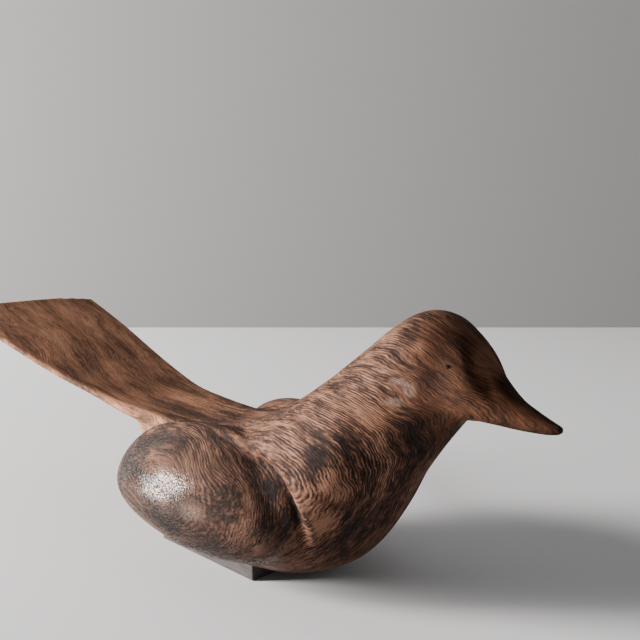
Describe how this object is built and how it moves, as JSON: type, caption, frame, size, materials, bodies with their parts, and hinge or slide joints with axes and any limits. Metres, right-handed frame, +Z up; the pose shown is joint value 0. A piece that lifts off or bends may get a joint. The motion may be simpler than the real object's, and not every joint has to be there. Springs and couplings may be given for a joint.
{
  "type": "carved wooden bird figurine",
  "caption": "Carved hardwood bird with folded wings, a thin upswept fan tail, a pointed beak, pressed-in eye pegs and a low foot block.",
  "frame": {"origin": "on the table, under the middle of the bird's overall length and width", "axes": "+X towards the tip of the beak, +Y to the bird's left, +Z up"},
  "size_m": [0.242, 0.0756, 0.0826],
  "materials": {
    "carved_hardwood": "waxed",
    "foot_hardwood": "waxed",
    "blackened_peg": "satin"
  },
  "bodies": {
    "root": {"bird_body": "carved_hardwood", "foot_block": "foot_hardwood", "eye_left": "blackened_peg", "eye_right": "blackened_peg"}
  },
  "joints": []
}
